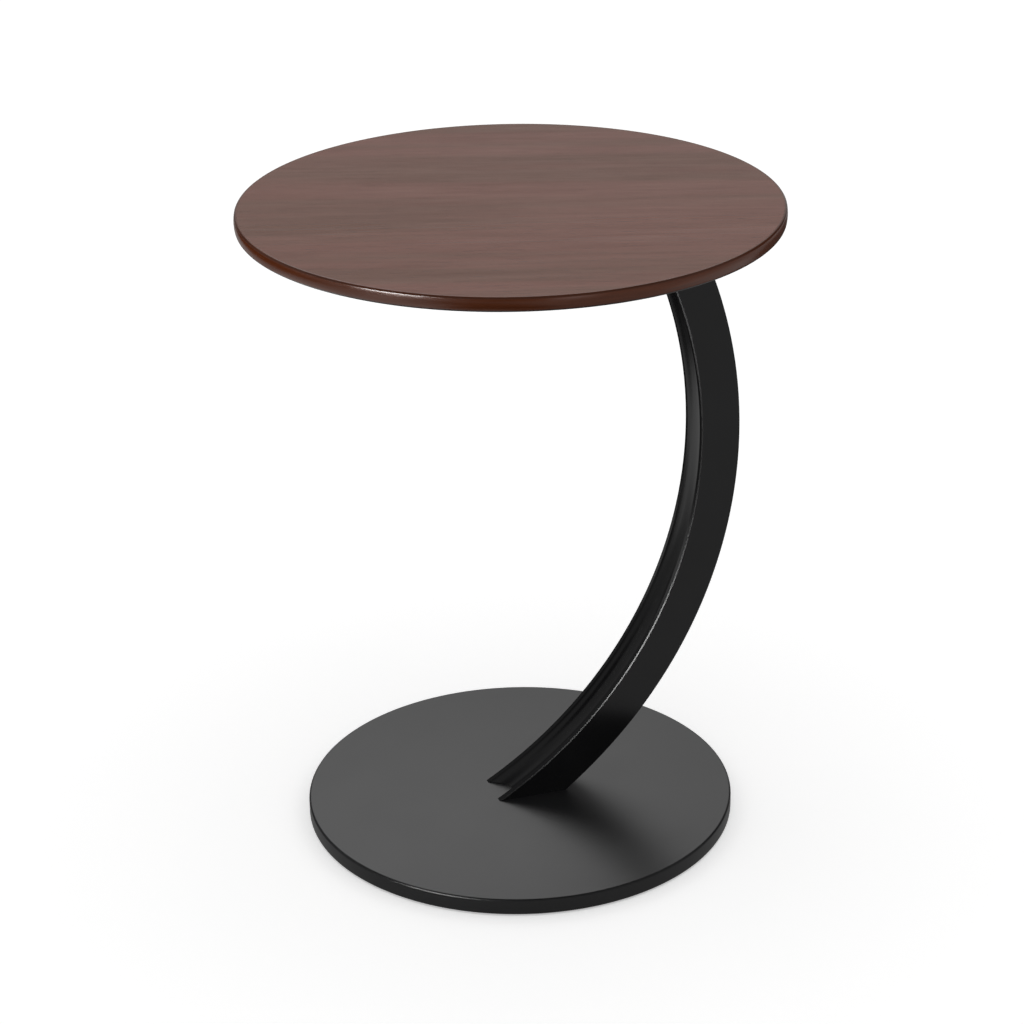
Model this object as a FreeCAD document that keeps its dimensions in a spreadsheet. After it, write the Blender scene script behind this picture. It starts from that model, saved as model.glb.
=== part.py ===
import FreeCAD, Part
import math
import os
import Sketcher

# C-shaped side table: a round veneered top carried by one arched column that rises from a round steel base.
# Origin on the floor under the middle of the base and the top, +Z up, the column's arch in the XZ plane.

# Driving dimensions, in millimetres
SIZES = {
    # Round top
    "table_height": 500,
    "top_diameter": 400,
    "core_thickness": 9,
    "veneer_thickness": 0.8,
    "band_thickness": 2.5,
    "band_edge_radius": 2,
    "glue_line": 0.05,
    # Arched column: how far its back stands out, and how far foot and head lie behind that point
    "arch_reach": 175,
    "foot_setback": 142,
    "head_setback": 48,
    "column_width": 35,
    "column_depth": 31,
    "flange_thickness": 4.5,
    "web_thickness": 23,
    "column_edge_chamfer": 0.8,
    # Steel plate between the column's head and the top
    "plate_length": 220,
    "plate_width": 90,
    "plate_thickness": 5,
    "plate_corner_radius": 12,
    "plate_overhang": 12,
    # Wood screws through the plate into the top
    "screw_inset": 14,
    "screw_rows": 3,
    "screw_diameter": 4,
    "screw_head_diameter": 8,
    "screw_point_length": 3,
    "screw_tip_cover": 2.8,
    "screw_recess_span": 4.2,
    "screw_recess_width": 1.1,
    "screw_recess_depth": 1.3,
    "screw_hole_clearance": 0.4,
    "pilot_clearance": 0.1,
    "pilot_end_gap": 0.3,
    # Machine screws and bolts at the column's two ends
    "bolt_diameter": 6,
    "bolt_gauge": 18,
    "bolt_hole_clearance": 0.6,
    "thread_clearance": 0.1,
    "thread_engagement": 9,
    "thread_end_gap": 1.5,
    "socket_width": 4,
    "socket_depth": 2,
    "head_screw_inset": 10,
    "head_screw_head_diameter": 11.5,
    "head_screw_sink": 0.2,
    "foot_bolt_inset": 10,
    "bolt_head_diameter": 10.5,
    "bolt_head_height": 3.3,
    "bolt_head_chamfer": 1,
    "bolt_head_sink": 0.2,
    "washer_diameter": 12,
    "washer_thickness": 1.6,
    "washer_clearance": 0.4,
    "lock_washer_diameter": 11,
    "lock_washer_thickness": 1.6,
    "lock_washer_slit": 1.2,
    "counterbore_clearance": 2,
    # Round base and the pads under it
    "base_diameter": 335,
    "base_thickness": 13,
    "base_edge_radius": 1.2,
    "pad_thickness": 1,
    "pad_diameter": 22,
    "pad_inset": 18,
    "pad_count": 6,
}

# What follows from the driving dimensions
DERIVED = {
    # Heights of the faces that meet
    "base_top": "Sizes.pad_thickness + Sizes.base_thickness",
    "board_thickness": "Sizes.core_thickness + 2 * Sizes.veneer_thickness",
    "board_bottom": "Sizes.table_height - board_thickness",
    "plate_bottom": "board_bottom - Sizes.plate_thickness",
    "board_diameter": "Sizes.top_diameter - 2 * Sizes.band_thickness",
    # Circle of the column's back: through its heels on the base and under the plate, out to arch_reach
    "column_rise": "plate_bottom - base_top",
    "setback_sum": "Sizes.foot_setback + Sizes.head_setback",
    "setback_product": "Sizes.foot_setback * Sizes.head_setback",
    "setback_step": "Sizes.foot_setback - Sizes.head_setback",
    "span_square": "column_rise ^ 2 + Sizes.foot_setback ^ 2 + Sizes.head_setback ^ 2",
    "arch_linear": "setback_sum * (span_square - 2 * setback_product)",
    "arch_constant": "span_square ^ 2 - 4 * setback_product ^ 2",
    "arch_root": "sqrt(arch_linear ^ 2 - setback_step ^ 2 * arch_constant)",
    "back_radius": "arch_constant / (arch_linear + arch_root) / 2",
    "front_radius": "back_radius - Sizes.column_depth",
    "arch_x": "Sizes.arch_reach - back_radius",
    "arch_z": "base_top + sqrt(2 * back_radius * Sizes.foot_setback - Sizes.foot_setback ^ 2)",
    "cutter_size": "2 * back_radius",
    # Groove along the column's front: an arc from lip to lip, as deep as the web leaves
    "groove_half": "Sizes.column_width / 2 - Sizes.flange_thickness",
    "groove_depth": "Sizes.column_depth - Sizes.web_thickness",
    "groove_radius": "(groove_half ^ 2 + groove_depth ^ 2) / (2 * groove_depth)",
    "groove_center": "front_radius + groove_depth - groove_radius",
    "column_edge": "min(Sizes.column_edge_chamfer; Sizes.flange_thickness / 3)",
    # Fixings along X
    "foot_heel_x": "Sizes.arch_reach - Sizes.foot_setback",
    "head_heel_x": "Sizes.arch_reach - Sizes.head_setback",
    "foot_bolt_x": "foot_heel_x - Sizes.foot_bolt_inset",
    "head_screw_x": "head_heel_x - Sizes.head_screw_inset",
    "plate_x": "head_heel_x + Sizes.plate_overhang - Sizes.plate_length / 2",
    "screw_span_x": "Sizes.plate_length - 2 * Sizes.screw_inset",
    "screw_span_y": "Sizes.plate_width - 2 * Sizes.screw_inset",
    # Lengths and holes of the fixings
    "screw_bite": "Sizes.core_thickness - Sizes.screw_tip_cover",
    "screw_length": "Sizes.plate_thickness + Sizes.veneer_thickness + screw_bite",
    "screw_cone": "(Sizes.screw_head_diameter - Sizes.screw_diameter) / 2",
    "pilot_diameter": "Sizes.screw_diameter + Sizes.pilot_clearance",
    "pilot_depth": "screw_bite + Sizes.pilot_end_gap",
    "screw_hole_diameter": "Sizes.screw_diameter + Sizes.screw_hole_clearance",
    "bolt_hole_diameter": "Sizes.bolt_diameter + Sizes.bolt_hole_clearance",
    "thread_hole_diameter": "Sizes.bolt_diameter + Sizes.thread_clearance",
    "thread_hole_depth": "Sizes.thread_engagement + Sizes.thread_end_gap",
    "washer_stack": "Sizes.washer_thickness + Sizes.lock_washer_thickness",
    "counterbore_depth": "washer_stack + Sizes.bolt_head_height + Sizes.bolt_head_sink",
    "counterbore_diameter": "Sizes.washer_diameter + Sizes.counterbore_clearance",
    "bolt_end": "Sizes.base_thickness + Sizes.thread_engagement",
    "head_screw_end": "Sizes.plate_thickness + Sizes.thread_engagement",
    "head_screw_cone": "(Sizes.head_screw_head_diameter - Sizes.bolt_diameter) / 2",
    "head_sink_size": "head_screw_cone + Sizes.head_screw_sink",
    "pad_circle_radius": "Sizes.base_diameter / 2 - Sizes.pad_inset",
}

doc = FreeCAD.newDocument("c_side_table")


# Sheets of sizes
def fill_sheet(name, cells, prefix):
    sheet = doc.addObject("Spreadsheet::Sheet", name)
    for row, (alias, content) in enumerate(cells.items(), 1):
        sheet.set(f"A{row}", alias)
        sheet.set(f"B{row}", f"{prefix}{content}")
        sheet.setAlias(f"B{row}", alias)
    doc.recompute()
    return sheet


fill_sheet("Sizes", SIZES, "")
derived_sheet = fill_sheet("Derived", DERIVED, "=")


def value(expression):
    return float(derived_sheet.evalExpression(expression))


# Bodies and their sketches
def new_body(label, x="0", y="0", z="0"):
    body = doc.addObject("PartDesign::Body", label)
    body.Label = label
    for axis, expression in (("x", x), ("y", y), ("z", z)):
        body.setExpression(f"Placement.Base.{axis}", expression)
    return body


def origin_feature(body, role):
    return next(feature for feature in body.Origin.OriginFeatures if feature.Role == role)


def new_sketch(body, name, plane, offset=("0", "0", "0")):
    sketch = body.newObject("Sketcher::SketchObject", name)
    sketch.AttachmentSupport = (origin_feature(body, plane), [""])
    sketch.MapMode = "FlatFace"
    for axis, expression in zip("xyz", offset):
        sketch.setExpression(f"AttachmentOffset.Base.{axis}", expression)
    return sketch


def bind(sketch, expression, kind, *target):
    index = sketch.addConstraint(Sketcher.Constraint(kind, *target, value(expression)))
    sketch.setExpression(f"Constraints[{index}]", expression)


def place_point(sketch, curve, end, across, up):
    for kind, axis, expression in (("DistanceX", -2, across), ("DistanceY", -1, up)):
        if expression == "0":
            sketch.addConstraint(Sketcher.Constraint("PointOnObject", curve, end, axis))
        else:
            bind(sketch, expression, kind, -1, 1, curve, end)


def point(across, up):
    return FreeCAD.Vector(value(across), value(up), 0)


def draw_run(sketch, corners, closed=True):
    first = sketch.GeometryCount
    count = len(corners) if closed else len(corners) - 1
    for number in range(count):
        start = point(*corners[number])
        finish = point(*corners[(number + 1) % len(corners)])
        sketch.addGeometry(Part.LineSegment(start, finish))
    for line in range(first + 1, first + count):
        sketch.addConstraint(Sketcher.Constraint("Coincident", line - 1, 2, line, 1))
    if closed:
        sketch.addConstraint(Sketcher.Constraint("Coincident", first + count - 1, 2, first, 1))
    for number in range(count):
        place_point(sketch, first + number, 1, *corners[number])
    if not closed:
        place_point(sketch, first + count - 1, 2, *corners[-1])


def draw_rectangle(sketch, left, low, right, high):
    draw_run(sketch, [(left, low), (right, low), (right, high), (left, high)])


def draw_circle(sketch, diameter, across="0", up="0"):
    circle = Part.Circle(point(across, up), FreeCAD.Vector(0, 0, 1), value(diameter) / 2)
    index = sketch.addGeometry(circle)
    place_point(sketch, index, 3, across, up)
    bind(sketch, diameter, "Diameter", index)


def draw_hexagon(sketch, width):
    half_side = f"{width} / 2 * tan(30)"
    corner = f"{width} / 2 / cos(30)"
    half = f"{width} / 2"
    draw_run(
        sketch,
        [
            (f"-{half}", f"-{half_side}"),
            ("0", f"-{corner}"),
            (half, f"-{half_side}"),
            (half, half_side),
            ("0", corner),
            (f"-{half}", half_side),
        ],
    )


def draw_cross(sketch, span, width):
    far = f"{span} / 2"
    near = f"{width} / 2"
    quarter = [(far, near), (near, near), (near, far)]
    corners = []
    for sign_x, sign_y in ((1, 1), (-1, 1), (-1, -1), (1, -1)):
        signed = [(f"{sign_x} * {across}", f"{sign_y} * {up}") for across, up in quarter]
        corners += signed if sign_x == sign_y else signed[::-1]
    draw_run(sketch, corners)


# Features
def pad(body, sketch, length):
    feature = body.newObject("PartDesign::Pad", sketch.Name + "_pad")
    feature.Profile = sketch
    feature.setExpression("Length", length)
    body.Tip = feature
    doc.recompute()
    return feature


def cut(body, sketch, depth=None, upward=False):
    before = body.Shape.Volume
    feature = body.newObject("PartDesign::Pocket", sketch.Name + "_cut")
    feature.Profile = sketch
    if depth is None:
        feature.Type = "ThroughAll"
        feature.Midplane = True
    else:
        feature.setExpression("Length", depth)
        feature.Reversed = upward
    body.Tip = feature
    doc.recompute()
    if not body.Shape.Volume < before:
        raise RuntimeError(f"{feature.Name} removes nothing from {body.Label}")
    return feature


def turn(body, sketch, degrees=360, midplane=False):
    feature = body.newObject("PartDesign::Revolution", sketch.Name + "_turn")
    feature.Profile = sketch
    feature.ReferenceAxis = (sketch, ["V_Axis"])
    feature.Angle = degrees
    feature.Midplane = midplane
    body.Tip = feature
    doc.recompute()
    return feature


def circle_edges(shape, radius, height=None):
    names = []
    for number, edge in enumerate(shape.Edges, 1):
        if not isinstance(edge.Curve, Part.Circle):
            continue
        same_radius = math.isclose(edge.Curve.Radius, value(radius), rel_tol=1e-6)
        if same_radius and (height is None or abs(edge.Curve.Center.z - value(height)) < 1e-6):
            names.append(f"Edge{number}")
    return names


def dress(body, kind, edges, size_name, size):
    base = body.Tip
    feature = body.newObject(f"PartDesign::{kind}", f"{base.Name}_{kind.lower()}")
    feature.Base = (base, edges)
    feature.setExpression(size_name, size)
    body.Tip = feature
    doc.recompute()
    return feature


def mirror_copy(body, features):
    mirrored = body.newObject("PartDesign::Mirrored", body.Name + "_pair")
    mirrored.Originals = features
    mirrored.MirrorPlane = (origin_feature(body, "XZ_Plane"), [""])
    body.Tip = mirrored
    doc.recompute()


# Places of the fixings, measured from their body's own origin
def screw_places():
    rows = round(value("Sizes.screw_rows"))
    steps = rows - 1
    places = []
    for step in range(rows):
        across = f"Derived.screw_span_x * ({step} / {steps} - 0.5)"
        places += [(across, "-Derived.screw_span_y / 2"), (across, "Derived.screw_span_y / 2")]
    return places


def pair_places(across):
    return [(across, "-Sizes.bolt_gauge / 2"), (across, "Sizes.bolt_gauge / 2")]


# Round top
def make_top_core():
    body = new_body("top_core", z="Derived.board_bottom + Sizes.veneer_thickness")
    disc = new_sketch(body, "core_disc", "XY_Plane")
    draw_circle(disc, "Derived.board_diameter")
    pad(body, disc, "Sizes.core_thickness")
    pilots = new_sketch(body, "core_pilots", "XY_Plane")
    for across, up in screw_places():
        draw_circle(pilots, "Derived.pilot_diameter", f"Derived.plate_x + {across}", up)
    cut(body, pilots, "Derived.pilot_depth", upward=True)
    return body


def make_top_veneer():
    body = new_body("top_veneer", z="Sizes.table_height - Sizes.veneer_thickness")
    disc = new_sketch(body, "veneer_disc", "XY_Plane")
    draw_circle(disc, "Derived.board_diameter")
    pad(body, disc, "Sizes.veneer_thickness")
    return body


def make_backing_veneer():
    body = new_body("backing_veneer", z="Derived.board_bottom")
    disc = new_sketch(body, "backing_disc", "XY_Plane")
    draw_circle(disc, "Derived.board_diameter")
    for across, up in screw_places():
        draw_circle(disc, "Derived.pilot_diameter", f"Derived.plate_x + {across}", up)
    pad(body, disc, "Sizes.veneer_thickness")
    return body


def make_edge_band():
    body = new_body("edge_band", z="Derived.board_bottom")
    ring = new_sketch(body, "band_ring", "XY_Plane")
    draw_circle(ring, "Sizes.top_diameter")
    draw_circle(ring, "Derived.board_diameter + 2 * Sizes.glue_line")
    rim = pad(body, ring, "Derived.board_thickness")
    outer_edges = circle_edges(rim.Shape, "Sizes.top_diameter / 2")
    dress(body, "Fillet", outer_edges, "Radius", "Sizes.band_edge_radius")
    return body


# Arched column, with its arch's centre as its own origin
def draw_column_section(sketch):
    front, back = "Derived.front_radius", "Derived.back_radius"
    side, lip = "Sizes.column_width / 2", "Derived.groove_half"
    edge, center = "Derived.column_edge", "Derived.groove_center"
    near_half = [
        (front, f"-{lip}"),
        (front, f"{edge} - {side}"),
        (f"{front} + {edge}", f"-{side}"),
        (f"{back} - {edge}", f"-{side}"),
        (back, f"{edge} - {side}"),
    ]
    far_half = [
        (back, f"{side} - {edge}"),
        (f"{back} - {edge}", side),
        (f"{front} + {edge}", side),
        (front, f"{side} - {edge}"),
        (front, lip),
    ]
    draw_run(sketch, near_half + far_half, closed=False)
    spread = math.atan2(value(lip), value(f"{front} - {center}"))
    circle = Part.Circle(point(center, "0"), FreeCAD.Vector(0, 0, 1), value("Derived.groove_radius"))
    groove = sketch.addGeometry(Part.ArcOfCircle(circle, -spread, spread))
    sketch.addConstraint(Sketcher.Constraint("Coincident", groove, 1, 0, 1))
    sketch.addConstraint(Sketcher.Constraint("Coincident", groove, 2, groove - 1, 2))
    bind(sketch, center, "DistanceX", -1, 1, groove, 3)


def make_column():
    body = new_body("column", x="Derived.arch_x", z="Derived.arch_z")
    section = new_sketch(body, "column_section", "XY_Plane")
    draw_column_section(section)
    turn(body, section, degrees=180, midplane=True)
    ends = new_sketch(body, "column_ends", "XZ_Plane")
    foot = "Derived.base_top - Derived.arch_z"
    head = "Derived.plate_bottom - Derived.arch_z"
    far = "Derived.cutter_size"
    draw_rectangle(ends, f"-{far}", f"-{far}", far, foot)
    draw_rectangle(ends, f"-{far}", head, far, far)
    cut(body, ends)
    foot_holes = new_sketch(body, "foot_holes", "XY_Plane", ("0", "0", foot))
    for across, up in pair_places("Derived.foot_bolt_x - Derived.arch_x"):
        draw_circle(foot_holes, "Derived.thread_hole_diameter", across, up)
    cut(body, foot_holes, "Derived.thread_hole_depth", upward=True)
    head_holes = new_sketch(body, "head_holes", "XY_Plane", ("0", "0", head))
    for across, up in pair_places("Derived.head_screw_x - Derived.arch_x"):
        draw_circle(head_holes, "Derived.thread_hole_diameter", across, up)
    cut(body, head_holes, "Derived.thread_hole_depth")
    return body


# Plate under the top, screwed up into the board and down onto the column's head
def make_top_plate():
    body = new_body("top_plate", x="Derived.plate_x", z="Derived.plate_bottom")
    outline = new_sketch(body, "plate_outline", "XY_Plane")
    long_half, short_half = "Sizes.plate_length / 2", "Sizes.plate_width / 2"
    draw_rectangle(outline, f"-{long_half}", f"-{short_half}", long_half, short_half)
    slab = pad(body, outline, "Sizes.plate_thickness")
    upright = [
        f"Edge{number}"
        for number, edge in enumerate(slab.Shape.Edges, 1)
        if abs(edge.tangentAt(edge.FirstParameter).z) > 0.9
    ]
    dress(body, "Fillet", upright, "Radius", "Sizes.plate_corner_radius")
    holes = new_sketch(body, "plate_holes", "XY_Plane")
    for across, up in screw_places():
        draw_circle(holes, "Derived.screw_hole_diameter", across, up)
    for across, up in pair_places("Derived.head_screw_x - Derived.plate_x"):
        draw_circle(holes, "Derived.bolt_hole_diameter", across, up)
    drilled = cut(body, holes)
    under = circle_edges(drilled.Shape, "Derived.screw_hole_diameter / 2", "0")
    sunk = dress(body, "Chamfer", under, "Size", "Derived.screw_cone")
    above = circle_edges(sunk.Shape, "Derived.bolt_hole_diameter / 2", "Sizes.plate_thickness")
    dress(body, "Chamfer", above, "Size", "Derived.head_sink_size")
    return body


# Fixings
def make_top_screws():
    body = new_body("top_screws", x="Derived.plate_x", z="Derived.plate_bottom")
    corner = ("-Derived.screw_span_x / 2", "-Derived.screw_span_y / 2")
    profile = new_sketch(body, "screw_profile", "XZ_Plane", (corner[0], "0", "Derived.screw_span_y / 2"))
    shank = "Sizes.screw_diameter / 2"
    draw_run(
        profile,
        [
            ("0", "0"),
            ("Sizes.screw_head_diameter / 2", "0"),
            (shank, "Derived.screw_cone"),
            (shank, "Derived.screw_length - Sizes.screw_point_length"),
            ("0", "Derived.screw_length"),
        ],
    )
    screw = turn(body, profile)
    cross = new_sketch(body, "screw_cross", "XY_Plane", (*corner, "0"))
    draw_cross(cross, "Sizes.screw_recess_span", "Sizes.screw_recess_width")
    recess = cut(body, cross, "Sizes.screw_recess_depth", upward=True)
    grid = body.newObject("PartDesign::MultiTransform", "screw_grid")
    row = body.newObject("PartDesign::LinearPattern", "screw_row")
    row.Direction = (origin_feature(body, "X_Axis"), [""])
    row.setExpression("Length", "Derived.screw_span_x")
    row.setExpression("Occurrences", "round(Sizes.screw_rows)")
    other_side = body.newObject("PartDesign::Mirrored", "screw_other_side")
    other_side.MirrorPlane = (origin_feature(body, "XZ_Plane"), [""])
    grid.Originals = [screw, recess]
    grid.Transformations = [row, other_side]
    body.Tip = grid
    return body


def make_head_screws():
    body = new_body("head_screws", x="Derived.head_screw_x", z="Derived.board_bottom")
    profile = new_sketch(body, "head_screw_profile", "XZ_Plane", ("0", "0", "Sizes.bolt_gauge / 2"))
    face, shank = "-Sizes.head_screw_sink", "Sizes.bolt_diameter / 2"
    draw_run(
        profile,
        [
            ("0", face),
            ("0", "-Derived.head_screw_end"),
            (shank, "-Derived.head_screw_end"),
            (shank, f"{face} - Derived.head_screw_cone"),
            ("Sizes.head_screw_head_diameter / 2", face),
        ],
    )
    screw = turn(body, profile)
    hexagon = new_sketch(body, "head_screw_socket", "XY_Plane", ("0", "-Sizes.bolt_gauge / 2", face))
    draw_hexagon(hexagon, "Sizes.socket_width")
    socket = cut(body, hexagon, "Sizes.socket_depth")
    mirror_copy(body, [screw, socket])
    return body


def make_base_bolts():
    body = new_body("base_bolts", x="Derived.foot_bolt_x", z="Sizes.pad_thickness")
    profile = new_sketch(body, "bolt_profile", "XZ_Plane", ("0", "0", "Sizes.bolt_gauge / 2"))
    face, seat = "Sizes.bolt_head_sink", "Sizes.bolt_head_sink + Sizes.bolt_head_height"
    head, shank = "Sizes.bolt_head_diameter / 2", "Sizes.bolt_diameter / 2"
    draw_run(
        profile,
        [
            ("0", face),
            (f"{head} - Sizes.bolt_head_chamfer", face),
            (head, f"{face} + Sizes.bolt_head_chamfer"),
            (head, seat),
            (shank, seat),
            (shank, "Derived.bolt_end"),
            ("0", "Derived.bolt_end"),
        ],
    )
    bolt = turn(body, profile)
    hexagon = new_sketch(body, "bolt_socket", "XY_Plane", ("0", "-Sizes.bolt_gauge / 2", face))
    draw_hexagon(hexagon, "Sizes.socket_width")
    socket = cut(body, hexagon, "Sizes.socket_depth", upward=True)
    mirror_copy(body, [bolt, socket])
    return body


def make_lock_washers():
    seat = "Sizes.pad_thickness + Sizes.bolt_head_sink + Sizes.bolt_head_height"
    body = new_body("lock_washers", x="Derived.foot_bolt_x", z=seat)
    place = ("0", "-Sizes.bolt_gauge / 2", "0")
    ring = new_sketch(body, "lock_washer_ring", "XY_Plane", place)
    draw_circle(ring, "Sizes.lock_washer_diameter")
    draw_circle(ring, "Sizes.bolt_diameter + Sizes.washer_clearance")
    washer = pad(body, ring, "Sizes.lock_washer_thickness")
    slit = new_sketch(body, "lock_washer_gap", "XY_Plane", place)
    half = "Sizes.lock_washer_slit / 2"
    draw_rectangle(slit, "0", f"-{half}", "Sizes.lock_washer_diameter", half)
    opening = cut(body, slit, "Sizes.lock_washer_thickness", upward=True)
    mirror_copy(body, [washer, opening])
    return body


def make_flat_washers():
    seat = "Sizes.pad_thickness + Derived.counterbore_depth - Sizes.washer_thickness"
    body = new_body("flat_washers", x="Derived.foot_bolt_x", z=seat)
    ring = new_sketch(body, "flat_washer_ring", "XY_Plane", ("0", "-Sizes.bolt_gauge / 2", "0"))
    draw_circle(ring, "Sizes.washer_diameter")
    draw_circle(ring, "Sizes.bolt_diameter + Sizes.washer_clearance")
    washer = pad(body, ring, "Sizes.washer_thickness")
    mirror_copy(body, [washer])
    return body


# Round base
def make_base_plate():
    body = new_body("base_plate", z="Sizes.pad_thickness")
    disc = new_sketch(body, "base_disc", "XY_Plane")
    draw_circle(disc, "Sizes.base_diameter")
    slab = pad(body, disc, "Sizes.base_thickness")
    outer_edges = circle_edges(slab.Shape, "Sizes.base_diameter / 2")
    dress(body, "Fillet", outer_edges, "Radius", "Sizes.base_edge_radius")
    bolt_holes = new_sketch(body, "base_bolt_holes", "XY_Plane")
    counterbores = new_sketch(body, "base_counterbores", "XY_Plane")
    for across, up in pair_places("Derived.foot_bolt_x"):
        draw_circle(bolt_holes, "Derived.bolt_hole_diameter", across, up)
        draw_circle(counterbores, "Derived.counterbore_diameter", across, up)
    cut(body, bolt_holes)
    cut(body, counterbores, "Derived.counterbore_depth", upward=True)
    return body


def make_floor_pads():
    body = new_body("floor_pads")
    disc = new_sketch(body, "pad_disc", "XY_Plane")
    draw_circle(disc, "Sizes.pad_diameter", "Derived.pad_circle_radius")
    one_pad = pad(body, disc, "Sizes.pad_thickness")
    circle = body.newObject("PartDesign::PolarPattern", "pad_circle")
    circle.Originals = [one_pad]
    circle.Axis = (origin_feature(body, "Z_Axis"), [""])
    circle.Angle = 360
    circle.setExpression("Occurrences", "round(Sizes.pad_count)")
    body.Tip = circle
    return body


def check_document(subparts):
    doc.recompute()
    for item in doc.Objects:
        if "Invalid" in item.State or "Error" in item.State:
            raise RuntimeError(f"{item.Name} failed: {item.State}")
    for body in subparts:
        if body.Shape.isNull() or not body.Shape.isValid():
            raise RuntimeError(f"{body.Label} has no valid shape")


def main():
    subparts = [
        make_top_veneer(),
        make_top_core(),
        make_backing_veneer(),
        make_edge_band(),
        make_top_plate(),
        make_top_screws(),
        make_head_screws(),
        make_column(),
        make_base_plate(),
        make_base_bolts(),
        make_lock_washers(),
        make_flat_washers(),
        make_floor_pads(),
    ]
    check_document(subparts)
    os.makedirs("parts", exist_ok=True)
    for body in subparts:
        body.Shape.exportStep(f"parts/{body.Label}.step")
        print(body.Label, len(body.Shape.Solids), "solids,", round(body.Shape.Volume), "mm3")


main()
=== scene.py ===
import math
import bpy
import bmesh
from mathutils import Matrix, Vector


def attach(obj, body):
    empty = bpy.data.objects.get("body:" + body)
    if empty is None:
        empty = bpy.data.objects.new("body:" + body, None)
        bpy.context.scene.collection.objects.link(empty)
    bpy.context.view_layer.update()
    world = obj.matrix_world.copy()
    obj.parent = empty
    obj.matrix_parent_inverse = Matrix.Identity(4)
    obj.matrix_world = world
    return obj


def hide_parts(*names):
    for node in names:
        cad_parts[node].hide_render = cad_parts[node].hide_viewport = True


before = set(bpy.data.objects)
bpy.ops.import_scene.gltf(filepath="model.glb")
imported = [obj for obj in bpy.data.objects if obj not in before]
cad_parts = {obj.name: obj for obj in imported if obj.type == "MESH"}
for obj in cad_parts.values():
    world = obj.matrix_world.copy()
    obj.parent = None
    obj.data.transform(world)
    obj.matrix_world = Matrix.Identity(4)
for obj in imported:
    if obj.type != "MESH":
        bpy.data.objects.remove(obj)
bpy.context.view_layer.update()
mm = 0.001
print("frame loaded:", len(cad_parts), "nodes")


class Wire:
    # one socket of a node tree; arithmetic on it adds Math nodes
    def __init__(self, tree, socket=None):
        self.tree = tree
        self.socket = socket

    def node(self, kind, settings=None, inputs=None, output=0):
        # adds a node to the tree and returns the wire of one of its outputs, if it has any
        made = self.tree.nodes.new(kind)
        for name, setting in (settings or {}).items():
            setattr(made, name, setting)
        for key, given in (inputs or {}).items():
            if isinstance(given, Wire):
                self.tree.links.new(given.socket, made.inputs[key])
            else:
                made.inputs[key].default_value = given
        return Wire(self.tree, made.outputs[output]) if made.outputs else None

    def outputs(self):
        # all outputs of the wire's node
        return [Wire(self.tree, socket) for socket in self.socket.node.outputs]

    def maths(self, operation, first, second=0.0):
        return self.node("ShaderNodeMath", {"operation": operation}, {0: first, 1: second})

    def __add__(self, other):
        return self.maths("ADD", self, other)

    def __radd__(self, other):
        return self.maths("ADD", other, self)

    def __sub__(self, other):
        return self.maths("SUBTRACT", self, other)

    def __rsub__(self, other):
        return self.maths("SUBTRACT", other, self)

    def __mul__(self, other):
        return self.maths("MULTIPLY", self, other)

    def __rmul__(self, other):
        return self.maths("MULTIPLY", other, self)

    def __truediv__(self, other):
        return self.maths("DIVIDE", self, other)

    def __rtruediv__(self, other):
        return self.maths("DIVIDE", other, self)

    def between(self, low, high, toLow=0.0, toHigh=1.0):
        # smooth step from toLow to toHigh
        return self.node("ShaderNodeMapRange", {"interpolation_type": "SMOOTHSTEP"},
                         {0: self, 1: low, 2: high, 3: toLow, 4: toHigh})

    def blended(self, other, share):
        # a share of this wire and the rest of the other
        return self * share + other * (1.0 - share)

    def split(self):
        return self.node("ShaderNodeSeparateXYZ", None, {0: self}).outputs()

    def scaled(self, factor):
        # a colour times a number
        return self.node("ShaderNodeVectorMath", {"operation": "SCALE"}, {0: self, "Scale": factor})

    def swung(self, turn):
        # the same coordinates turned about Z
        return self.node("ShaderNodeMapping", {"vector_type": "POINT"},
                         {"Vector": self, "Rotation": (0, 0, turn)})

    def noise(self, stretch, detail, roughness):
        # noise in the piece's own metres, stretched by cycles per metre along x, y, z
        spread = self.node("ShaderNodeMapping", {"vector_type": "POINT"},
                           {"Vector": self, "Scale": stretch})
        return self.node("ShaderNodeTexNoise", {"noise_dimensions": "3D"},
                         {"Vector": spread, "Scale": 1.0, "Detail": detail, "Roughness": roughness})

    def mixColour(self, first, second):
        # self is the factor; sockets 6 and 7 and output 2 are the node's colour ones
        return self.node("ShaderNodeMix", {"data_type": "RGBA"}, {0: self, 6: first, 7: second}, output=2)

    def tint(self, look):
        # from the look's dark tone to its light one
        return self.mixColour(rgb(look["dark"]), rgb(look["light"]))


def rgb(colour):
    return (*colour, 1.0)


def weighed(weights, *wires):
    # the first weight, plus each further weight times its wire
    total = weights[0]
    for weight, wire in zip(weights[1:], wires):
        total = total + weight * wire
    return total


def newMaterial(name, look):
    # a Principled material with its fixed sockets set; returns the material, its shader and coordinates
    material = bpy.data.materials.new(name)
    material.use_nodes = True
    shader = material.node_tree.nodes["Principled BSDF"]
    for socket, value in look["fixed"].items():
        shader.inputs[socket].default_value = value
    place = Wire(material.node_tree).node("ShaderNodeTexCoord", output="Object")
    return material, shader, place


def feed(shader, **inputs):
    names = {"colour": "Base Color", "roughness": "Roughness", "coat": "Coat Weight", "normal": "Normal"}
    for name, wire in inputs.items():
        wire.tree.links.new(wire.socket, shader.inputs[names[name]])


def bump(height, strength, depth):
    return height.node("ShaderNodeBump", None, {"Strength": strength, "Distance": depth, "Height": height})


def feedPattern(shader, pattern, look):
    # one pattern drives the colour, the roughness and a slight relief
    feed(shader, colour=pattern.between(*look["range"]).tint(look),
         roughness=weighed(look["roughness"], pattern), normal=bump(pattern, *look["relief"]))


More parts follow.
